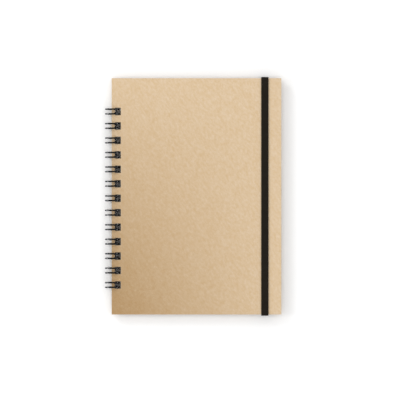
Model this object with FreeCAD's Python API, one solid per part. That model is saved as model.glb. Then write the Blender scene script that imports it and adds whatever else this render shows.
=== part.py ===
"""A5 sketchbook with kraft board covers, a twin-loop wire binding and a flat elastic closing band.

Units are millimetres. The closed book lies on its back cover: +X runs from the wire-bound spine to
the fore-edge, +Y from the foot of the page to its head, and +Z from the back cover to the front one.
The origin is the centre of the closed book's footprint, on the surface that the loops stand on.
"""

import FreeCAD, Part

import math
import os

from FreeCAD import Vector

# Driving dimensions -----------------------------------------------------------------------------
COVER_WIDTH = 149.0  # spine edge to fore-edge
COVER_HEIGHT = 207.5  # foot to head
BOARD = 1.2  # thickness of one kraft board

SHEET_COUNT = 30
SHEET_THICKNESS = 0.15
SHEET_MARGIN_FORE = 1.0  # the covers overhang the paper by this much at the fore-edge
SHEET_MARGIN_ENDS = 1.0  # and by this much at the head and the foot
EYELET_ROOM = 0.3  # between the last sheet and the back cover, for the eyelets' inner rims

LOOP_COUNT = 13
LOOP_PITCH = 12.7  # two loops to the inch
LOOP_RADIUS = 6.6  # outside radius of a closed loop
WIRE_DIAMETER = 1.3
STRAND_SPACING = 4.1  # between the two strands of one loop, centre to centre
BINDING_SHIFT = -1.65  # the row of loops sits this far below the middle of the cover
LOOP_CENTRE_INSET = 0.5  # spine edge to the middle of the loops

HOLE_MARGIN = 2.95  # spine edge to the punched holes
HOLE_WIDTH = 5.1  # along X
HOLE_HEIGHT = 6.6  # along Y
HOLE_CORNER = 0.6  # corner radius in the boards

BEND_RADIUS = 1.5  # where a strand turns into the link to the next loop
STRAND_START = -84.0  # loop angle, in degrees from +X towards +Z, where the strands leave the links
STRAND_SWEEP = 321.0  # degrees round the loop, from there to the start of the closed tip
WIRE_END = 2.0  # length of the cut stub at each end of the wire
CROSS_BEND_START = 79.0  # loop angle at which the bend across the front leaves the two strands
CROSS_BEND_DIAMETER = 1.2  # a little thinner than the wire, so that it runs into the strands' sides

BAND_WIDTH = 6.4
BAND_THICKNESS = 1.0
BAND_INSET = 14.5  # fore-edge to the band's centre line
BAND_GAP_FACE = 0.05  # between the band and the faces of the covers
BAND_GAP_EDGE = 0.1  # between the band and the head and foot of the covers
BAND_INNER_RADIUS = 0.1  # where the band turns over the covers' edges
BAND_TAIL = 4.0  # the band's end runs on past its eyelet by this much

EYELET_INSET = 15.0  # head or foot of the cover to an eyelet's centre
EYELET_BORE = 1.1  # radius
EYELET_BARREL = 1.5  # radius
BOARD_CLEARANCE = 0.05  # radial, between the barrel and the board
BAND_CLEARANCE = 0.3  # radial, between the barrel and the band's hole
OUTER_RIM_RADIUS = 2.8
OUTER_RIM_THICKNESS = 0.35
OUTER_RIM_FILLET = 0.2
INNER_RIM_RADIUS = 2.3
INNER_RIM_THICKNESS = 0.25

# Places worked out from them ----------------------------------------------------------------------
BLOCK = SHEET_COUNT * SHEET_THICKNESS
BOOK_THICKNESS = 2 * BOARD + BLOCK + EYELET_ROOM

LOOP_Z = LOOP_RADIUS  # middle of the loops
BACK_Z = LOOP_Z - BOOK_THICKNESS / 2  # outer face of the back cover
SHEETS_Z = BACK_Z + BOARD + EYELET_ROOM  # underside of the last sheet
FRONT_Z = SHEETS_Z + BLOCK  # inner face of the front cover
TOP_Z = FRONT_Z + BOARD  # outer face of the front cover

PAST_SPINE = LOOP_RADIUS - LOOP_CENTRE_INSET  # how far the loops stand out past the spine edge
SPINE_X = PAST_SPINE - (PAST_SPINE + COVER_WIDTH) / 2
LOOP_X = SPINE_X + LOOP_CENTRE_INSET
FORE_X = SPINE_X + COVER_WIDTH
BAND_X = FORE_X - BAND_INSET
HALF_HEIGHT = COVER_HEIGHT / 2
EYELET_Y = HALF_HEIGHT - EYELET_INSET

WIRE_RADIUS = WIRE_DIAMETER / 2
STRAND_RADIUS = LOOP_RADIUS - WIRE_RADIUS  # from the middle of the loops to that of the wire
LOOP_CENTRES = [
    BINDING_SHIFT + (i - (LOOP_COUNT - 1) / 2) * LOOP_PITCH for i in range(LOOP_COUNT)
]
ALONG_Y = Vector(0, 1, 0)


def polygon(points):
    """A closed wire through the points, in order."""
    return Part.makePolygon(points + points[:1])


def rectangle(x0, x1, y0, y1, z):
    """A closed rectangular wire in a level plane."""
    return polygon([Vector(x0, y0, z), Vector(x1, y0, z), Vector(x1, y1, z), Vector(x0, y1, z)])


def rounded_rectangle(x0, x1, y0, y1, z, radius):
    """A closed level wire whose corners are quarter circles."""
    middle = radius * (1 - math.sqrt(0.5))
    corners = [(x0, y0, 1, 1), (x1, y0, -1, 1), (x1, y1, -1, -1), (x0, y1, 1, -1)]
    arcs = []
    for i, (x, y, into_x, into_y) in enumerate(corners):
        beside_x = Vector(x, y + into_y * radius, z)
        beside_y = Vector(x + into_x * radius, y, z)
        bulge = Vector(x + into_x * middle, y + into_y * middle, z)
        ends = (beside_x, beside_y) if i % 2 == 0 else (beside_y, beside_x)
        arcs.append((ends[0], bulge, ends[1]))
    edges = []
    for i, (start, bulge, end) in enumerate(arcs):
        edges.append(Part.Arc(start, bulge, end).toShape())
        edges.append(Part.LineSegment(end, arcs[(i + 1) % len(arcs)][0]).toShape())
    return Part.Wire(edges)


def punched(outlines, thickness):
    """A level board or sheet with holes, from its outer outline and those of its holes."""
    face = Part.makeFace(outlines, "Part::FaceMakerBullseye")
    return face.extrude(Vector(0, 0, thickness))


def hole_box(y):
    """The sides of one punched hole: lowest and highest x, lowest and highest y."""
    x0 = SPINE_X + HOLE_MARGIN
    return x0, x0 + HOLE_WIDTH, y - HOLE_HEIGHT / 2, y + HOLE_HEIGHT / 2


def cover(z):
    """A board with a row of punched holes along its spine edge. z is its lower face."""
    outline = rectangle(SPINE_X, FORE_X, -HALF_HEIGHT, HALF_HEIGHT, z)
    holes = [rounded_rectangle(*hole_box(y), z, HOLE_CORNER) for y in LOOP_CENTRES]
    return punched([outline] + holes, BOARD)


def back_cover():
    """The back board, which is also pierced for the two eyelets."""
    board = cover(BACK_Z)
    radius = EYELET_BARREL + BOARD_CLEARANCE
    for y in (-EYELET_Y, EYELET_Y):
        board = board.cut(Part.makeCylinder(radius, BOARD, Vector(BAND_X, y, BACK_Z)))
    return board


def sheet(number):
    """One drawing sheet. Sheet 1 lies under the front cover."""
    z = FRONT_Z - number * SHEET_THICKNESS
    top = HALF_HEIGHT - SHEET_MARGIN_ENDS
    outline = rectangle(SPINE_X, FORE_X - SHEET_MARGIN_FORE, -top, top, z)
    holes = [rectangle(*hole_box(y), z) for y in LOOP_CENTRES]
    return punched([outline] + holes, SHEET_THICKNESS)


def on_loop(angle, y):
    """The point of the wire's centre line at an angle round the middle of the loops."""
    a = math.radians(angle)
    return Vector(LOOP_X + STRAND_RADIUS * math.cos(a), y, LOOP_Z + STRAND_RADIUS * math.sin(a))


def heading(angle):
    """The way that a strand runs at that angle, from the links towards the tip."""
    a = math.radians(angle)
    return Vector(math.sin(a), 0, -math.cos(a))


def arc(start, middle, end):
    return Part.Arc(start, middle, end).toShape()


def line(start, end):
    return Part.LineSegment(start, end).toShape()


def loop_path(y):
    """Edges of one double loop, from the link below it to the link above it, and its two ends."""
    low, high = y - STRAND_SPACING / 2, y + STRAND_SPACING / 2
    away = heading(STRAND_START)
    corner = BEND_RADIUS / math.sqrt(2)

    low_start, high_start = on_loop(STRAND_START, low), on_loop(STRAND_START, high)
    low_link = low_start - (away + ALONG_Y) * BEND_RADIUS
    high_link = high_start + (ALONG_Y - away) * BEND_RADIUS
    low_bend = low_start - ALONG_Y * BEND_RADIUS + (ALONG_Y - away) * corner
    high_bend = high_start + ALONG_Y * BEND_RADIUS - (ALONG_Y + away) * corner

    tip = STRAND_START - STRAND_SWEEP
    half_way = STRAND_START - STRAND_SWEEP / 2
    tip_end = on_loop(tip, y) + heading(tip) * (STRAND_SPACING / 2)
    edges = [
        arc(low_link, low_bend, low_start),
        arc(low_start, on_loop(half_way, low), on_loop(tip, low)),
        arc(on_loop(tip, low), tip_end, on_loop(tip, high)),
        arc(on_loop(tip, high), on_loop(half_way, high), high_start),
        arc(high_start, high_bend, high_link),
    ]
    return edges, low_link, high_link


def cross_bend(y):
    """The bend that joins a double loop's two strands, just before they go down through the front."""
    half = STRAND_SPACING / 2
    reach = CROSS_BEND_START - math.degrees(half / STRAND_RADIUS)
    bend = arc(on_loop(CROSS_BEND_START, y - half), on_loop(reach, y), on_loop(CROSS_BEND_START, y + half))
    start, onward = bend.valueAt(bend.FirstParameter), bend.tangentAt(bend.FirstParameter)
    section = Part.Wire(Part.makeCircle(CROSS_BEND_DIAMETER / 2, start, onward))
    return Part.Wire([bend]).makePipeShell([section], True, False)


def binding_wire():
    """One continuous wire: a double loop at each hole, joined by straight links behind the back."""
    edges = []
    previous = None
    for y in LOOP_CENTRES:
        loop, low_link, high_link = loop_path(y)
        edges.append(line(previous or low_link - ALONG_Y * WIRE_END, low_link))
        edges += loop
        previous = high_link
    edges.append(line(previous, previous + ALONG_Y * WIRE_END))
    path = Part.Wire(edges)
    section = Part.Wire(Part.makeCircle(WIRE_RADIUS, path.Vertexes[0].Point, ALONG_Y))
    wire = path.makePipeShell([section], True, False)
    expected = math.pi * WIRE_RADIUS**2 * path.Length
    print(f"binding wire: {path.Length:.1f} mm long, volume {wire.Volume / expected:.4f} of expected")
    return wire.fuse([cross_bend(y) for y in LOOP_CENTRES])


def band_turn(y_sign, z_sign, distance):
    """The three points of the band's turn over one edge, that far inside or outside its inner face."""
    y0 = HALF_HEIGHT + BAND_GAP_EDGE - BAND_INNER_RADIUS
    face = TOP_Z + BAND_GAP_FACE if z_sign > 0 else BACK_Z - BAND_GAP_FACE
    z0 = face - z_sign * BAND_INNER_RADIUS
    radius = BAND_INNER_RADIUS + distance
    slant = radius * math.sqrt(0.5)
    return (
        Vector(0, y_sign * y0, z0 + z_sign * radius),
        Vector(0, y_sign * (y0 + slant), z0 + z_sign * slant),
        Vector(0, y_sign * (y0 + radius), z0),
    )


def band_side(distance):
    """Edges of one face of the band, from its head end on the back round to its foot end."""
    end_y = EYELET_Y - BAND_TAIL
    end_z = BACK_Z - BAND_GAP_FACE - distance
    head_back = band_turn(1, -1, distance)
    head_front = band_turn(1, 1, distance)
    foot_front = band_turn(-1, 1, distance)
    foot_back = band_turn(-1, -1, distance)
    head_end, foot_end = Vector(0, end_y, end_z), Vector(0, -end_y, end_z)
    edges = [
        line(head_end, head_back[0]),
        arc(*head_back),
        line(head_back[2], head_front[2]),
        arc(*reversed(head_front)),
        line(head_front[0], foot_front[0]),
        arc(*foot_front),
        line(foot_front[2], foot_back[2]),
        arc(*reversed(foot_back)),
        line(foot_back[0], foot_end),
    ]
    return edges, head_end, foot_end


def elastic_band():
    """A flat strap from the head eyelet, over the head, down the front, and back to the foot eyelet."""
    inner, inner_head, inner_foot = band_side(0)
    outer, outer_head, outer_foot = band_side(BAND_THICKNESS)
    ends = [line(inner_head, outer_head), line(inner_foot, outer_foot)]
    outline = Part.Wire(Part.__sortEdges__(inner + outer + ends))
    strap = Part.Face(outline).extrude(Vector(BAND_WIDTH, 0, 0))
    strap.translate(Vector(BAND_X - BAND_WIDTH / 2, 0, 0))
    radius = EYELET_BARREL + BAND_CLEARANCE
    below = BACK_Z - BAND_GAP_FACE - BAND_THICKNESS
    for y in (-EYELET_Y, EYELET_Y):
        strap = strap.cut(Part.makeCylinder(radius, BAND_THICKNESS, Vector(BAND_X, y, below)))
    return strap


def eyelet(y):
    """A tubular eyelet that clamps one end of the band to the back board."""
    top = BACK_Z + BOARD + INNER_RIM_THICKNESS
    under_board = BACK_Z - BAND_GAP_FACE - BAND_THICKNESS
    bottom = under_board - OUTER_RIM_THICKNESS
    rounded = OUTER_RIM_FILLET * (1 - math.sqrt(0.5))
    rim_side = Vector(OUTER_RIM_RADIUS, 0, bottom + OUTER_RIM_FILLET)
    rim_face = Vector(OUTER_RIM_RADIUS - OUTER_RIM_FILLET, 0, bottom)
    rim_bulge = Vector(OUTER_RIM_RADIUS - rounded, 0, bottom + rounded)
    corners = [
        rim_side,
        Vector(OUTER_RIM_RADIUS, 0, under_board),
        Vector(EYELET_BARREL, 0, under_board),
        Vector(EYELET_BARREL, 0, BACK_Z + BOARD),
        Vector(INNER_RIM_RADIUS, 0, BACK_Z + BOARD),
        Vector(INNER_RIM_RADIUS, 0, top),
        Vector(EYELET_BORE, 0, top),
        Vector(EYELET_BORE, 0, bottom),
        rim_face,
    ]
    edges = [line(a, b) for a, b in zip(corners, corners[1:])]
    edges.append(arc(rim_face, rim_bulge, rim_side))
    ring = Part.Face(Part.Wire(edges)).revolve(Vector(0, 0, 0), Vector(0, 0, 1), 360)
    ring.translate(Vector(BAND_X, y, 0))
    return ring


def parts():
    """Every sub-part by name."""
    made = {
        "front_cover": cover(FRONT_Z),
        "back_cover": back_cover(),
        "binding_wire": binding_wire(),
        "elastic_band": elastic_band(),
        "eyelet_head": eyelet(EYELET_Y),
        "eyelet_foot": eyelet(-EYELET_Y),
    }
    for number in range(1, SHEET_COUNT + 1):
        made[f"sheet_{number:02d}"] = sheet(number)
    return made


def main():
    os.makedirs("parts", exist_ok=True)
    for name, shape in parts().items():
        if shape.ShapeType != "Solid" and len(shape.Solids) == 1:
            shape = shape.Solids[0]
        if not shape.isValid() or shape.Volume <= 0:
            raise ValueError(f"{name} is not a valid solid")
        shape.exportStep(f"parts/{name}.step")
    print(f"spine edge x {SPINE_X:.3f}, middle of the loops z {LOOP_Z:.3f}, back cover z {BACK_Z:.3f}")


main()
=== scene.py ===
# The sketchbook, seen from straight above on a white table: kraft boards, twin-loop wire, elastic band.

import math
import random

import bmesh
import bpy
from mathutils import Matrix, Vector


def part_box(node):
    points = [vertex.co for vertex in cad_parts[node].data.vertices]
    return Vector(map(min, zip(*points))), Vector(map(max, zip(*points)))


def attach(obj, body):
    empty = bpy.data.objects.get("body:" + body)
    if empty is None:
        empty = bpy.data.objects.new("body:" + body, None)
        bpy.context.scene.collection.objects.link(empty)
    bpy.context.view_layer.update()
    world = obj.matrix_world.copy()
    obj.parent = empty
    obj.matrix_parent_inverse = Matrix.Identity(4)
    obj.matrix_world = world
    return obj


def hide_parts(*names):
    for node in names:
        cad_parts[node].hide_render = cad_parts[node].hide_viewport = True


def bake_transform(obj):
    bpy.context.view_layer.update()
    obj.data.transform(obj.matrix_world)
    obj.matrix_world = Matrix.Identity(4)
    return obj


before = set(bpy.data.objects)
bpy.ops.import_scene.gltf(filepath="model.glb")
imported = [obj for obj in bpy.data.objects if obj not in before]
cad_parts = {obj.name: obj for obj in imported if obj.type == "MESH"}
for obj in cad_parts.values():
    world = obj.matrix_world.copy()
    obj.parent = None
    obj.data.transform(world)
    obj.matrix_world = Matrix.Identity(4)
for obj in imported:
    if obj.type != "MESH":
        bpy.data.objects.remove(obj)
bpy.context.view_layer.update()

MM = 0.001

# The binding's own dimensions, in metres. They are the CAD source's, apart from the wire's two radii ------
LOOP_COUNT = 13
LOOP_PITCH = 12.7 * MM
WIRE_RADIUS = 0.70 * MM
STRAND_SPACING = 4.1 * MM
BEND_RADIUS = 1.5 * MM
STRAND_START = -84.0
STRAND_SWEEP = 321.0
WIRE_END = 2.0 * MM
CROSS_BEND_START = 79.0
CROSS_BEND_RADIUS = 0.62 * MM
HOLE_MARGIN = 2.95 * MM
HOLE_WIDTH = 5.1 * MM
HOLE_HEIGHT = 6.6 * MM
HOLE_CORNER = 0.6 * MM

# The band's and its eyelets' ---------------------------------------------------------------------------
BAND_THICKNESS = 0.95 * MM
BAND_TURN = 0.6 * MM  # radius of the band's middle line at its four corners
BAND_TAIL = 4.0 * MM  # how far the band's ends reach past their eyelets
EYELET_HOLE = 1.55 * MM  # radius in the back cover
BAND_HOLE = 1.62 * MM  # radius in the band
BAND_ROOM = 1.05 * MM  # from the back cover down to the eyelet's rim

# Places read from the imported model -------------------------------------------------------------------
front_low, front_high = (Vector(corner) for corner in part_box("front_cover"))
back_low, back_high = (Vector(corner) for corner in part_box("back_cover"))
wire_low, wire_high = (Vector(corner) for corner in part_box("binding_wire"))
band_low, band_high = (Vector(corner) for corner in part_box("elastic_band"))

SPINE_X = front_low.x
LOOP_R = (wire_high.z - wire_low.z) / 2
LOOP_X = wire_low.x + LOOP_R
LOOP_Z = wire_low.z + LOOP_R
STRAND_R = LOOP_R - WIRE_RADIUS
ROW_CENTRE = (wire_low.y + wire_high.y) / 2
LOOP_CENTRES = [ROW_CENTRE + (i - (LOOP_COUNT - 1) / 2) * LOOP_PITCH for i in range(LOOP_COUNT)]
EYELET_X = (band_low.x + band_high.x) / 2
EYELET_Y = sum(corner[1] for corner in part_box("eyelet_head")) / 2
SHEETS = sorted(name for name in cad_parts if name.startswith("sheet_"))


# Mesh helpers ------------------------------------------------------------------------------------------
def new_object(name, bm, smooth=True):
    mesh = bpy.data.meshes.new(name)
    bmesh.ops.recalc_face_normals(bm, faces=bm.faces)
    bm.to_mesh(mesh)
    bm.free()
    mesh.shade_smooth() if smooth else mesh.shade_flat()
    piece = bpy.data.objects.new(name, mesh)
    bpy.context.scene.collection.objects.link(piece)
    return piece


def rounded_outline(x0, x1, y0, y1, radius, steps):
    """Points round a rectangle, anticlockwise, with steps + 1 of them at each corner, or round a circle."""
    points = []
    left, right, foot, head = x0 + radius, x1 - radius, y0 + radius, y1 - radius
    is_circle = right - left < 1e-7  # then each corner starts where the one before it ends
    for quarter, (cx, cy) in enumerate([(right, head), (left, head), (left, foot), (right, foot)]):
        for i in range(1 if is_circle else 0, steps + 1):
            a = math.pi / 2 * (quarter + i / steps)
            points.append((cx + radius * math.cos(a), cy + radius * math.sin(a)))
    return points


def punched_plate(name, sides, holes, z0, z1, corner, hole_corner, rounding, rim=0.0, round_holes=()):
    """A level plate with rounded edges and holes. A rim above 0 adds a band along each edge."""
    bm = bmesh.new()
    rim_layer = bm.verts.layers.float.new("rim")
    # The hole attribute marks the walls of the holes, which the materials darken as painted shade
    hole_layer = bm.verts.layers.float.new("hole")
    profile = []
    for i in range(4):
        a = math.pi / 2 * i / 3
        profile.append((rounding * (1 - math.sin(a)), rounding * (1 - math.cos(a))))
    if rim:
        profile.insert(0, (rim + rounding, 0.0))

    def add_rings(outline_at, outward):
        levels = [(d, z0 + h, d) for d, h in profile] + [(d, z1 - h, d) for d, h in reversed(profile)]
        rings = []
        for inset, z, d in levels:
            points = outline_at(-inset * outward)
            ring = [bm.verts.new((x, y, z)) for x, y in points]
            for vertex in ring:
                vertex[rim_layer] = 0.0 if rim and d > rounding else 1.0
                vertex[hole_layer] = 0.0 if outward == 1 else 1.0
            rings.append(ring)
        count = len(rings[0])
        for low, high in zip(rings, rings[1:]):
            for i in range(count):
                j = (i + 1) % count
                bm.faces.new((low[i], low[j], high[j], high[i]))
        return rings[0], rings[-1]

    def edge_loop(ring):
        edges = []
        for a, b in zip(ring, ring[1:] + ring[:1]):
            edges.append(bm.edges.get((a, b)) or bm.edges.new((a, b)))
        return edges

    floors, roofs = [], []

    def take(rings):
        floors.extend(edge_loop(rings[0]))
        roofs.extend(edge_loop(rings[1]))

    def grown(x0, x1, y0, y1, radius, steps):
        """The outline, moved outwards by the distance that it is called with."""
        return lambda d: rounded_outline(x0 - d, x1 + d, y0 - d, y1 + d, max(radius + d, 1e-5), steps)

    take(add_rings(grown(*sides, corner, 4), 1))
    for hole in holes:
        take(add_rings(grown(*hole, hole_corner, 4), -1))
    for cx, cy, r in round_holes:
        take(add_rings(grown(cx - r, cx + r, cy - r, cy + r, r, 8), -1))
    bmesh.ops.triangle_fill(bm, use_beauty=True, use_dissolve=False, edges=floors)
    bmesh.ops.triangle_fill(bm, use_beauty=True, use_dissolve=False, edges=roofs)
    return new_object(name, bm)


def add_tube(bm, path, radius, sides, end_rounding):
    """Adds a round bar along a list of points, with slightly rounded ends."""
    tangents = []
    for i, point in enumerate(path):
        before, after = path[max(i - 1, 0)], path[min(i + 1, len(path) - 1)]
        tangents.append((after - before).normalized())
    normal = tangents[0].orthogonal().normalized()
    rings = []

    def add_ring(centre, across, up, r):
        rings.append([
            bm.verts.new(centre + (across * math.cos(a) + up * math.sin(a)) * r)
            for a in (2 * math.pi * k / sides for k in range(sides))
        ])

    first, last = tangents[0], tangents[-1]
    for i, (point, tangent) in enumerate(zip(path, tangents)):
        normal = (normal - tangent * normal.dot(tangent)).normalized()
        up = tangent.cross(normal)
        if i == 0:
            add_ring(point - first * end_rounding, normal, up, radius - end_rounding)
        add_ring(point, normal, up, radius)
        if i == len(path) - 1:
            add_ring(point + last * end_rounding, normal, up, radius - end_rounding)
    for low, high in zip(rings, rings[1:]):
        for k in range(sides):
            j = (k + 1) % sides
            bm.faces.new((low[k], low[j], high[j], high[k]))
    bm.faces.new(list(reversed(rings[0])))
    bm.faces.new(rings[-1])


def combine(piece, other, operation):
    """Cuts the other object out of the piece, or joins it on, and removes the other object."""
    modifier = piece.modifiers.new("combine", "BOOLEAN")
    modifier.operation = operation
    modifier.solver = "EXACT"
    modifier.object = other
    bpy.context.view_layer.update()
    evaluated = piece.evaluated_get(bpy.context.evaluated_depsgraph_get())
    mesh = bpy.data.meshes.new_from_object(evaluated)
    piece.modifiers.clear()
    piece.data = mesh
    bpy.data.objects.remove(other)


def lathe(name, profile, centre, sides):
    """A closed profile of (radius, z) points turned about the vertical through centre."""
    bm = bmesh.new()
    rings = []
    for r, z in profile:
        rings.append([
            bm.verts.new((centre.x + r * math.cos(a), centre.y + r * math.sin(a), z))
            for a in (2 * math.pi * k / sides for k in range(sides))
        ])
    for low, high in zip(rings, rings[1:] + rings[:1]):
        for k in range(sides):
            j = (k + 1) % sides
            bm.faces.new((low[k], low[j], high[j], high[k]))
    return new_object(name, bm)


# Materials ---------------------------------------------------------------------------------------------
class Nodes:
    """A material's node tree with short names for what the materials below use."""

    def __init__(self, name):
        self.material = bpy.data.materials.new(name)
        self.material.use_nodes = True
        self.tree = self.material.node_tree
        self.shader = self.tree.nodes["Principled BSDF"]
        self.coordinates = self.tree.nodes.new("ShaderNodeTexCoord")

    def add(self, kind, **settings):
        node = self.tree.nodes.new(kind)
        for key, value in settings.items():
            setattr(node, key, value)
        return node

    def link(self, source, target):
        self.tree.links.new(source, target)

    def put(self, target, value):
        if hasattr(value, "node"):
            self.link(value, target)
        else:
            target.default_value = value

    def set(self, **values):
        for key, value in values.items():
            self.put(self.shader.inputs[key.replace("_", " ")], value)

    def millimetres(self, scale=(1, 1, 1), turn=(0, 0, 0), shift=(0, 0, 0)):
        """Object coordinates counted in millimetres, then turned and stretched."""
        node = self.add("ShaderNodeMapping", vector_type="TEXTURE")
        self.link(self.coordinates.outputs["Object"], node.inputs["Vector"])
        node.inputs["Scale"].default_value = [MM / s for s in scale]
        node.inputs["Rotation"].default_value = turn
        node.inputs["Location"].default_value = [MM * s for s in shift]
        return node.outputs["Vector"]

    def noise(self, vector, scale, detail=3.0, roughness=0.55, distortion=0.0):
        node = self.add("ShaderNodeTexNoise")
        self.link(vector, node.inputs["Vector"])
        node.inputs["Scale"].default_value = scale
        node.inputs["Detail"].default_value = detail
        node.inputs["Roughness"].default_value = roughness
        node.inputs["Distortion"].default_value = distortion
        return node.outputs["Fac"]

    def cells(self, vector, scale):
        node = self.add("ShaderNodeTexVoronoi")
        self.link(vector, node.inputs["Vector"])
        node.inputs["Scale"].default_value = scale
        return node.outputs["Distance"]

    def math(self, operation, a, b=0.0, clamp=False):
        node = self.add("ShaderNodeMath", operation=operation, use_clamp=clamp)
        self.put(node.inputs[0], a)
        self.put(node.inputs[1], b)
        return node.outputs[0]

    def ramp(self, value, low, high, out_low=0.0, out_high=1.0):
        node = self.add("ShaderNodeMapRange", clamp=True)
        for key, number in (("From Min", low), ("From Max", high), ("To Min", out_low), ("To Max", out_high)):
            node.inputs[key].default_value = number
        self.put(node.inputs["Value"], value)
        return node.outputs["Result"]

    def mix(self, factor, a, b, blend="MIX"):
        node = self.add("ShaderNodeMix", data_type="RGBA", blend_type=blend)
        self.put(node.inputs[0], factor)
        self.put(node.inputs[6], a)
        self.put(node.inputs[7], b)
        return node.outputs[2]

    def attribute(self, name):
        return self.add("ShaderNodeAttribute", attribute_name=name).outputs["Fac"]

    def part(self, vector, axis):
        node = self.add("ShaderNodeSeparateXYZ")
        self.link(vector, node.inputs[0])
        return node.outputs[axis]

    def bump(self, height, distance, strength=1.0):
        node = self.add("ShaderNodeBump")
        node.inputs["Strength"].default_value = strength
        node.inputs["Distance"].default_value = distance
        self.link(height, node.inputs["Height"])
        self.link(node.outputs["Normal"], self.shader.inputs["Normal"])


def grey(value):
    return (value, value, value, 1.0)


# Painted shade: the board darkens from its head and fore-edge corner to its foot and spine corner, standing
# in for uneven light, in millimetres
PAINTED_SHADE_START = (77.5, 117.5)
PAINTED_SHADE_FULL = 118.6 * 199.0 * 1.4  # the product of the distances from the two edges


def kraft_board():
    """Uncoated brown board: cloudy pulp, fine fibres in all directions, flecks, raw cut edges, and painted
    shade towards the foot and spine corner and on the walls of its holes.
    """
    m = Nodes("kraft_board")
    plain = m.millimetres()
    drawn = m.millimetres((0.76, 1.28, 1.0), (0, 0, math.radians(-56)))
    clouds = m.noise(drawn, 0.12, 3.0, 0.6, 0.6)
    mottle = m.noise(drawn, 0.38, 4.0, 0.70)
    grain = m.noise(plain, 2.6, 3.0, 0.6)
    fibres = []
    for i in range(4):
        along = m.millimetres((0.32, 3.4, 1.0), (0, 0, math.radians(17 + 47 * i)), (13.0 * i, 7.0 * i, 0))
        fibres.append(m.noise(along, 1.0, 2.0, 0.5, 0.35))
    light_fibres = m.math("MAXIMUM", m.ramp(fibres[0], 0.63, 0.76), m.ramp(fibres[1], 0.63, 0.76))
    dark_fibres = m.math("MAXIMUM", m.ramp(fibres[2], 0.65, 0.78), m.ramp(fibres[3], 0.65, 0.78))
    flecks = m.ramp(m.cells(m.millimetres((1, 1, 1), (0, 0, 0.4)), 0.33), 0.035, 0.075, 1.0, 0.0)
    flecks = m.math("MULTIPLY", flecks, m.ramp(mottle, 0.42, 0.6))

    colour = m.mix(m.ramp(clouds, 0.36, 0.64), (0.600, 0.446, 0.274, 1), (0.640, 0.504, 0.350, 1))
    dark_spot, light_spot = (0.580, 0.413, 0.232, 1), (0.680, 0.541, 0.390, 1)
    colour = m.mix(m.ramp(mottle, 0.34, 0.66), m.mix(0.6, colour, dark_spot), m.mix(0.6, colour, light_spot))
    colour = m.mix(m.ramp(grain, 0.35, 0.75, 0.0, 0.22), colour, (0.455, 0.315, 0.175, 1))
    # Painted shade: the colour is darkened towards the foot and spine corner, standing in for uneven light
    place = m.millimetres()
    from_fore_edge = m.math("SUBTRACT", PAINTED_SHADE_START[0], m.part(place, "X"))
    from_head = m.math("SUBTRACT", PAINTED_SHADE_START[1], m.part(place, "Y"))
    corner_distance = m.math("MULTIPLY", from_fore_edge, from_head)
    painted_shade = m.math("MULTIPLY", corner_distance, 1 / PAINTED_SHADE_FULL, clamp=True)
    colour = m.mix(painted_shade, colour, m.mix(1.0, colour, (0.598, 0.492, 0.336, 1), "MULTIPLY"))
    colour = m.mix(m.math("MULTIPLY", light_fibres, 0.30), colour, (0.74, 0.60, 0.43, 1))
    colour = m.mix(m.math("MULTIPLY", dark_fibres, 0.26), colour, (0.33, 0.21, 0.11, 1))
    colour = m.mix(m.math("MULTIPLY", flecks, 0.55), colour, (0.20, 0.12, 0.06, 1))

    facing = m.math("ABSOLUTE", m.part(m.coordinates.outputs["Normal"], "Z"))
    cut = m.ramp(facing, 0.35, 0.75, 1.0, 0.0)
    plies = m.noise(m.millimetres((0.22, 0.22, 7.5)), 1.0, 3.0, 0.65)
    cut_and_hole_shade_colour = m.mix(m.ramp(plies, 0.35, 0.65), (0.300, 0.200, 0.112, 1), (0.520, 0.385, 0.245, 1))
    # Painted shade: the walls of the punched holes are darkened
    cut_and_hole_shade_colour = m.mix(m.attribute("hole"), cut_and_hole_shade_colour, (0.17, 0.115, 0.065, 1))
    colour = m.mix(cut, colour, cut_and_hole_shade_colour)
    rim = m.math("MULTIPLY", m.attribute("rim"), m.ramp(m.noise(plain, 1.1, 3.0), 0.42, 0.68))
    colour = m.mix(m.math("MULTIPLY", rim, 0.35), colour, (0.66, 0.51, 0.34, 1))

    height = m.math("ADD", m.math("MULTIPLY", grain, 0.6), m.math("MULTIPLY", light_fibres, 0.5))
    height = m.math("ADD", height, m.math("MULTIPLY", dark_fibres, 0.35))
    height = m.math("ADD", height, m.math("MULTIPLY", m.noise(plain, 7.0, 2.0), 0.35))
    height = m.math("ADD", height, m.math("MULTIPLY", m.math("MULTIPLY", cut, plies), 1.6))
    m.bump(height, 0.05 * MM, 0.6)
    m.set(Base_Color=colour, Roughness=m.ramp(grain, 0.3, 0.7, 0.78, 0.92))
    m.set(Specular_IOR_Level=0.28, Sheen_Weight=0.08, Sheen_Roughness=0.6)
    return m.material


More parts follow.
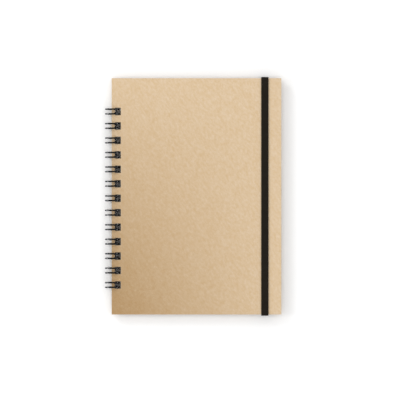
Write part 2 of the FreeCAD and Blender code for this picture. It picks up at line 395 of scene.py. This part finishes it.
def drawing_paper():
    """Off-white drawing paper with a light tooth, a little darker where the block was cut, and painted shade
    on the walls of its punched holes.
    """
    m = Nodes("drawing_paper")
    plain = m.millimetres()
    tooth = m.noise(plain, 3.2, 4.0, 0.65)
    cloud = m.noise(plain, 0.12, 3.0)
    colour = m.mix(m.ramp(cloud, 0.3, 0.7), (0.800, 0.775, 0.715, 1), (0.850, 0.828, 0.775, 1))
    colour = m.mix(m.ramp(tooth, 0.4, 0.7, 0.0, 0.12), colour, (0.70, 0.67, 0.60, 1))
    facing = m.math("ABSOLUTE", m.part(m.coordinates.outputs["Normal"], "Z"))
    cut = m.ramp(facing, 0.35, 0.75, 1.0, 0.0)
    layers = m.noise(m.millimetres((0.05, 0.05, 5.7)), 1.0, 2.0, 0.7)
    cut_and_hole_shade_colour = m.mix(m.ramp(layers, 0.35, 0.65), (0.60, 0.57, 0.50, 1), (0.83, 0.80, 0.74, 1))
    # Painted shade: the walls of the punched holes are darkened
    cut_and_hole_shade_colour = m.mix(m.attribute("hole"), cut_and_hole_shade_colour, (0.14, 0.13, 0.115, 1))
    colour = m.mix(cut, colour, cut_and_hole_shade_colour)
    height = m.math("ADD", tooth, m.math("MULTIPLY", m.noise(plain, 9.0, 2.0), 0.4))
    m.bump(height, 0.02 * MM, 0.55)
    m.set(Base_Color=colour, Roughness=m.ramp(tooth, 0.3, 0.7, 0.8, 0.93), Specular_IOR_Level=0.25)
    return m.material


def black_wire():
    """Steel wire in a glossy black nylon coat with a faint orange peel and a few rubbed places."""
    m = Nodes("black_wire")
    plain = m.millimetres()
    peel = m.noise(plain, 1.6, 2.0, 0.5)
    fine = m.noise(plain, 11.0, 3.0, 0.6)
    rubbed = m.ramp(m.noise(plain, 0.8, 4.0, 0.7), 0.6, 0.74)
    colour = m.mix(m.math("MULTIPLY", rubbed, 0.5), (0.0022, 0.0023, 0.0027, 1), (0.010, 0.010, 0.011, 1))
    m.bump(m.math("ADD", peel, m.math("MULTIPLY", fine, 0.25)), 0.02 * MM, 0.5)
    roughness = m.math("ADD", m.ramp(fine, 0.3, 0.7, 0.07, 0.12), m.math("MULTIPLY", rubbed, 0.15))
    m.set(Base_Color=colour, Roughness=roughness)
    m.set(Specular_IOR_Level=0.12)
    return m.material


def black_elastic():
    """Flat woven elastic: lengthwise ribs over the rubber cores, crossed by fine picks, with a soft fuzz."""
    m = Nodes("black_elastic")
    uv = m.coordinates.outputs["UV"]
    across, along = m.part(uv, "X"), m.part(uv, "Y")
    rib_width, pick_length = 0.58, 0.42
    side = m.math("SINE", m.math("MULTIPLY", across, math.pi / rib_width))
    rib = m.math("ABSOLUTE", side)
    lean = m.math("MULTIPLY", m.math("SIGN", side), 0.5 * math.pi)
    pick = m.math("SINE", m.math("ADD", m.math("MULTIPLY", along, 2 * math.pi / pick_length), lean))
    pick = m.math("ADD", m.math("MULTIPLY", pick, 0.5), 0.5)
    crossing = m.math("MULTIPLY", m.math("MULTIPLY", pick, rib), 0.45)
    weave = m.math("ADD", m.math("MULTIPLY", rib, 0.65), crossing)
    plain = m.millimetres()
    fuzz = m.noise(plain, 9.0, 3.0, 0.7)
    worn = m.noise(plain, 0.25, 3.0, 0.6)
    colour = m.mix(m.ramp(weave, 0.1, 1.0), (0.0044, 0.0034, 0.0020, 1), (0.0142, 0.0104, 0.0056, 1))
    colour = m.mix(m.ramp(fuzz, 0.55, 0.8, 0.0, 0.5), colour, (0.024, 0.020, 0.016, 1))
    colour = m.mix(m.ramp(worn, 0.45, 0.7, 0.0, 0.18), colour, (0.022, 0.019, 0.015, 1))
    m.bump(m.math("ADD", weave, m.math("MULTIPLY", fuzz, 0.3)), 0.09 * MM, 0.8)
    m.set(Base_Color=colour, Roughness=m.ramp(fuzz, 0.3, 0.7, 0.72, 0.9))
    m.set(Specular_IOR_Level=0.12, Sheen_Weight=0.03, Sheen_Roughness=0.5)
    return m.material


def eyelet_metal():
    """Black lacquered steel, rubbed bright in places along the rolled rim."""
    m = Nodes("eyelet_metal")
    plain = m.millimetres()
    scratch = m.noise(m.millimetres((0.8, 9.0, 4.0), (0.3, 0.2, 0.6)), 1.0, 3.0, 0.6)
    patch = m.noise(plain, 1.4, 4.0, 0.65)
    bare = m.math("MULTIPLY", m.ramp(scratch, 0.60, 0.70), m.ramp(patch, 0.5, 0.62))
    colour = m.mix(m.math("MULTIPLY", bare, 0.7), (0.012, 0.012, 0.013, 1), (0.32, 0.31, 0.30, 1))
    m.bump(m.math("ADD", patch, scratch), 0.015 * MM, 0.5)
    m.set(Base_Color=colour, Roughness=m.ramp(patch, 0.3, 0.7, 0.24, 0.40))
    m.set(Metallic=m.math("MULTIPLY", bare, 0.8))
    m.set(Coat_Weight=0.35, Coat_Roughness=0.2)
    return m.material


# Pieces --------------------------------------------------------------------------------------------------
def finish_piece(piece, material, body, slot, *nodes):
    piece.data.materials.append(material)
    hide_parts(*nodes)
    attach(piece, body)


def hole_boxes():
    """(lowest x, highest x, lowest y, highest y) of each hole along the spine."""
    x0 = SPINE_X + HOLE_MARGIN
    half = HOLE_HEIGHT / 2
    return [(x0, x0 + HOLE_WIDTH, y - half, y + half) for y in LOOP_CENTRES]


def set_plate_normals(mesh):
    """Keeps the level faces exactly flat, right up to their rounded edges."""
    sums = [Vector() for _ in mesh.vertices]
    level = {}
    for face in mesh.polygons:
        for index in face.vertices:
            sums[index] += face.normal * face.area
            if abs(face.normal.z) > 0.9999:
                level[index] = Vector((0, 0, math.copysign(1, face.normal.z)))
    normals = [level.get(loop.vertex_index) or sums[loop.vertex_index].normalized() for loop in mesh.loops]
    mesh.normals_split_custom_set(normals)


def make_cover(node, body, material, round_holes=()):
    """A board, with a rubbed rim along its edges and its holes."""
    low, high = (Vector(corner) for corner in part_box(node))
    piece = punched_plate(
        f"{node}_board", (low.x, high.x, low.y, high.y), hole_boxes(), low.z, high.z,
        corner=0.35 * MM, hole_corner=HOLE_CORNER, rounding=0.14 * MM, rim=0.9 * MM, round_holes=round_holes)
    set_plate_normals(piece.data)
    finish_piece(piece, material, body, "kraft_board", node)


def make_sheets(material):
    """Each sheet is punched and trimmed a little unevenly."""
    rng = random.Random(11)
    for node in SHEETS:
        low, high = (Vector(corner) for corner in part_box(node))
        dx, dy = rng.uniform(-0.14, 0.10) * MM, rng.uniform(-0.14, 0.14) * MM
        gap = 0.010 * MM
        holes = [(a + dx, b + dx, c + dy, d + dy) for a, b, c, d in hole_boxes()]
        piece = punched_plate(
            f"{node}_paper", (low.x + 0.02 * MM, high.x + dx, low.y + dy, high.y + dy), holes,
            low.z + gap, high.z - gap, corner=0.25 * MM, hole_corner=0.25 * MM, rounding=0.02 * MM)
        set_plate_normals(piece.data)
        finish_piece(piece, material, node, "drawing_paper", node)


def on_loop(angle, y):
    a = math.radians(angle)
    return Vector((LOOP_X + STRAND_R * math.cos(a), y, LOOP_Z + STRAND_R * math.sin(a)))


def loop_points(y):
    """The wire's centre line through one double loop, from the link before it to the link after it."""
    tip = STRAND_START - STRAND_SWEEP
    start_turn, tip_turn = math.radians(STRAND_START), math.radians(tip)
    away = Vector((math.sin(start_turn), 0, -math.cos(start_turn)))
    onward = Vector((math.sin(tip_turn), 0, -math.cos(tip_turn)))
    along = Vector((0, 1, 0))
    half = STRAND_SPACING / 2
    points = []

    def bend(corner, before, after, steps=7):
        centre = corner - before * BEND_RADIUS + after * BEND_RADIUS
        for i in range(steps):
            a = math.pi / 2 * i / steps
            points.append(centre - after * BEND_RADIUS * math.cos(a) + before * BEND_RADIUS * math.sin(a))

    bend(on_loop(STRAND_START, y - half) - away * BEND_RADIUS, along, away)
    steps = 84
    for i in range(steps):
        points.append(on_loop(STRAND_START - STRAND_SWEEP * i / steps, y - half))
    for i in range(17):
        b = math.pi * i / 16
        points.append(on_loop(tip, y - half * math.cos(b)) + onward * half * math.sin(b))
    for i in range(1, steps):
        points.append(on_loop(tip + STRAND_SWEEP * i / steps, y + half))
    bend(on_loop(STRAND_START, y + half) - away * BEND_RADIUS, -away, along)
    points.append(on_loop(STRAND_START, y + half) - away * BEND_RADIUS + along * BEND_RADIUS)
    return points


def cross_bend_points(y):
    """The bend that joins a double loop's two strands just before they go down through the front cover."""
    half = STRAND_SPACING / 2
    middle = on_loop(CROSS_BEND_START, y)
    reach = on_loop(CROSS_BEND_START - math.degrees(half / STRAND_R), y) - middle
    steps = 20
    points = []
    for i in range(steps + 1):
        a = math.pi * i / steps
        points.append(middle - Vector((0, half * math.cos(a), 0)) + reach * math.sin(a))
    return points


def make_wire(material):
    """One tube through all the loops, with the cross bends joined on."""
    path = []
    for i, y in enumerate(LOOP_CENTRES):
        points = loop_points(y)
        if i == 0:
            path.append(points[0] - Vector((0, WIRE_END, 0)))
        path.extend(points)
    path.append(path[-1] + Vector((0, WIRE_END, 0)))
    wire, bends = bmesh.new(), bmesh.new()
    add_tube(wire, path, WIRE_RADIUS, 20, 0.08 * MM)
    for y in LOOP_CENTRES:
        add_tube(bends, cross_bend_points(y), CROSS_BEND_RADIUS, 20, 0.05 * MM)
    piece = new_object("binding_wire_coated", wire)
    combine(piece, new_object("bends", bends), "UNION")
    piece.data.set_sharp_from_angle(angle=math.radians(35))
    finish_piece(piece, material, "binding", "black_wire", "binding_wire")
    return piece


def band_path(inset):
    """(y, z, outward y, outward z) round the band's middle line, from its head end to its foot end."""
    turn = BAND_TURN
    y_out, z_top, z_bottom = band_high.y - inset, band_high.z - inset, band_low.z + inset
    end_y = EYELET_Y - BAND_TAIL
    stops = []

    def run(y0, z0, y1, z1, outward, steps):
        for i in range(steps):
            t = i / steps
            stops.append((y0 + (y1 - y0) * t, z0 + (z1 - z0) * t, *outward))

    def corner(cy, cz, a0, a1, steps=8):
        for i in range(steps):
            a = math.radians(a0 + (a1 - a0) * i / steps)
            stops.append((cy + turn * math.cos(a), cz + turn * math.sin(a), math.cos(a), math.sin(a)))

    run(end_y, z_bottom, y_out - turn, z_bottom, (0, -1), 14)
    corner(y_out - turn, z_bottom + turn, -90, 0)
    run(y_out, z_bottom + turn, y_out, z_top - turn, (1, 0), 8)
    corner(y_out - turn, z_top - turn, 0, 90)
    run(y_out - turn, z_top, -y_out + turn, z_top, (0, 1), 120)
    corner(-y_out + turn, z_top - turn, 90, 180)
    run(-y_out, z_top - turn, -y_out, z_bottom + turn, (-1, 0), 8)
    corner(-y_out + turn, z_bottom + turn, 180, 270)
    run(-y_out + turn, z_bottom, -end_y, z_bottom, (0, -1), 14)
    stops.append((-end_y, z_bottom, 0, -1))
    return stops


def band_section(half_width, half_thickness):
    """(across, out, texture across) round the band's section: shallow ribs on both faces and soft edges."""
    ribs, per_rib = 11, 4
    relief = 0.05 * MM
    edge = half_thickness
    flat = half_width - edge
    points = []
    for face in (1, -1):
        for i in range(ribs * per_rib + 1):
            t = i / (ribs * per_rib)
            x = face * (-flat + 2 * flat * t)
            swell = relief * abs(math.sin(math.pi * ribs * t))
            points.append((x, face * (half_thickness - relief + swell)))
        for k in range(1, 6):
            a = math.pi * k / 6
            points.append((face * (flat + edge * math.sin(a)), face * edge * math.cos(a)))
    return points


def make_band(material):
    """The strip is swept along its path from one clamped end, round its front run, to the other, and punched.
    """
    stops = band_path(BAND_THICKNESS / 2)
    section = band_section((band_high.x - band_low.x) / 2, BAND_THICKNESS / 2)
    bm = bmesh.new()
    uv_layer = bm.loops.layers.uv.new("UVMap")
    rings, lengths, length = [], [], 0.0
    for i, (y, z, ny, nz) in enumerate(stops):
        if i:
            length += math.hypot(y - stops[i - 1][0], z - stops[i - 1][1])
        lengths.append(length / MM)
        rings.append([bm.verts.new((EYELET_X + a, y + ny * out, z + nz * out)) for a, out in section])
    count = len(section)
    for i, (low, high) in enumerate(zip(rings, rings[1:])):
        for k in range(count):
            j = (k + 1) % count
            face = bm.faces.new((low[k], high[k], high[j], low[j]))
            places = ((k, i), (k, i + 1), (j, i + 1), (j, i))
            for loop, (across, along) in zip(face.loops, places):
                loop[uv_layer].uv = (section[across][0] / MM, lengths[along])
    bm.faces.new(rings[0])
    bm.faces.new(list(reversed(rings[-1])))
    piece = new_object("elastic_band_woven", bm)
    piece.data.materials.append(material)
    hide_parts("elastic_band")
    punch_band(piece)
    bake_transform(piece)


def punch_band(piece):
    """Cuts the holes that the eyelets pass through."""
    for y in (EYELET_Y, -EYELET_Y):
        bm = bmesh.new()
        place = Matrix.Translation((EYELET_X, y, band_low.z))
        bmesh.ops.create_cone(
            bm, cap_ends=True, segments=40, radius1=BAND_HOLE, radius2=BAND_HOLE, depth=3 * MM, matrix=place)
        combine(piece, new_object("punch", bm), "DIFFERENCE")


def make_eyelet(node, material):
    """A tube through the back cover with a wide rolled rim under the band and a narrow one inside."""
    low, high = (Vector(corner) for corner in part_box(node))
    centre = (low + high) / 2
    outer, bore, barrel, inner = (high.x - low.x) / 2, 1.12 * MM, 1.48 * MM, 2.3 * MM
    seat = back_low.z - BAND_ROOM

    def rolled_rim(radius, z, roll, steps):
        for i in range(steps + 1):
            a = math.pi * i / steps
            profile.append((radius - roll + roll * math.sin(a), z - roll * math.cos(a)))

    profile = []
    rolled_rim(outer, (low.z + seat) / 2, 0.17 * MM, 8)
    profile += [(barrel, seat), (barrel, back_high.z)]
    rolled_rim(inner, back_high.z + 0.125 * MM, 0.12 * MM, 6)
    for widening, z in (
            (0.35, high.z), (0.08, high.z - 0.10 * MM), (0.0, high.z - 0.40 * MM),
            (0.0, low.z + 0.50 * MM), (0.10, low.z + 0.14 * MM), (0.40, low.z + 0.01 * MM)):
        profile.append((bore + widening * MM, z))
    piece = lathe(f"{node}_rolled", profile, centre, 56)
    finish_piece(piece, material, "binding", "eyelet_metal", node)


# Camera, light and table -------------------------------------------------------------------------------
VIEW_WIDTH = 0.3513  # at the height of the front cover
VIEW_CENTRE = (0.0061, -0.0032)
TABLE_GAP = 0.0002  # below the lowest point of the book
WORLD_STRENGTH = 0.91
LIGHT_DISTANCE = 1.5

# Each light: name, bearing and elevation in degrees, width and height in metres, power in watts
SOFTBOXES = [
    ("left", 180, 40, (0.40, 0.40), 3.7),
    ("head_left", 135, 40, (0.40, 0.40), 2.9),
    ("head_left_low", 135, 20, (0.35, 0.35), 2.6),
    ("right", 0, 50, (0.40, 0.40), 1.3),
    ("foot", 270, 50, (0.40, 0.40), 1.2),
]
GLINTS = [
    ("left_glint", 180, 2, (4.0, 0.12), 220.0),
    ("right_glint", 0, 3, (3.0, 0.12), 50.0),
]


def make_camera():
    """Straight above the book."""
    data = bpy.data.cameras.new("camera")
    data.lens = 600.0
    data.sensor_width = 36.0
    data.clip_end = 20.0
    camera = bpy.data.objects.new("camera", data)
    camera.location = (*VIEW_CENTRE, front_high.z + VIEW_WIDTH * data.lens / data.sensor_width)
    bpy.context.scene.collection.objects.link(camera)
    bpy.context.scene.camera = camera


def add_softbox(name, bearing, elevation, size, power, only=None):
    """A lamp aimed at the book, its bearing counted from +X. It lights everything, or only one collection."""
    data = bpy.data.lights.new(name, "AREA")
    data.shape = "RECTANGLE"
    data.size, data.size_y = size
    data.energy = power
    light = bpy.data.objects.new(name, data)
    turn, rise = math.radians(bearing), math.radians(elevation)
    level = math.cos(rise)
    light.location = Vector((math.cos(turn) * level, math.sin(turn) * level, math.sin(rise))) * LIGHT_DISTANCE
    light.rotation_euler = (-light.location).to_track_quat("-Z", "Y").to_euler()
    light.visible_camera = False
    light.light_linking.receiver_collection = only
    bpy.context.scene.collection.objects.link(light)


def make_stage(wire):
    """The white table, the even light from all round and the lamps. The glints are for the wire alone."""
    bm = bmesh.new()
    bmesh.ops.create_grid(bm, x_segments=1, y_segments=1, size=3.0)
    floor = new_object("table_top", bm, smooth=False)
    floor.location.z = -TABLE_GAP
    m = Nodes("table_top")
    tone = m.noise(m.millimetres(), 0.01, 2.0)
    m.set(Base_Color=m.mix(tone, grey(0.92), grey(0.94)), Roughness=0.9, Specular_IOR_Level=0.2)
    floor.data.materials.append(m.material)

    world = bpy.data.worlds.new("studio")
    bpy.context.scene.world = world
    world.use_nodes = True
    background = world.node_tree.nodes["Background"]
    background.inputs["Color"].default_value = (1, 1, 1, 1)
    background.inputs["Strength"].default_value = WORLD_STRENGTH
    for name, bearing, elevation, size, power in SOFTBOXES:
        add_softbox(name, bearing, elevation, size, power)
    glossy = bpy.data.collections.new("glossy")
    glossy.objects.link(wire)
    for name, bearing, elevation, size, power in GLINTS:
        add_softbox(name, bearing, elevation, size, power, glossy)
    bpy.context.scene.view_settings.view_transform = "Standard"


board = kraft_board()
make_cover("front_cover", "front_cover", board)
make_cover("back_cover", "binding", board, [(EYELET_X, y, EYELET_HOLE) for y in (EYELET_Y, -EYELET_Y)])
make_sheets(drawing_paper())
wire = make_wire(black_wire())
make_band(black_elastic())
metal = eyelet_metal()
make_eyelet("eyelet_head", metal)
make_eyelet("eyelet_foot", metal)
make_stage(wire)
make_camera()
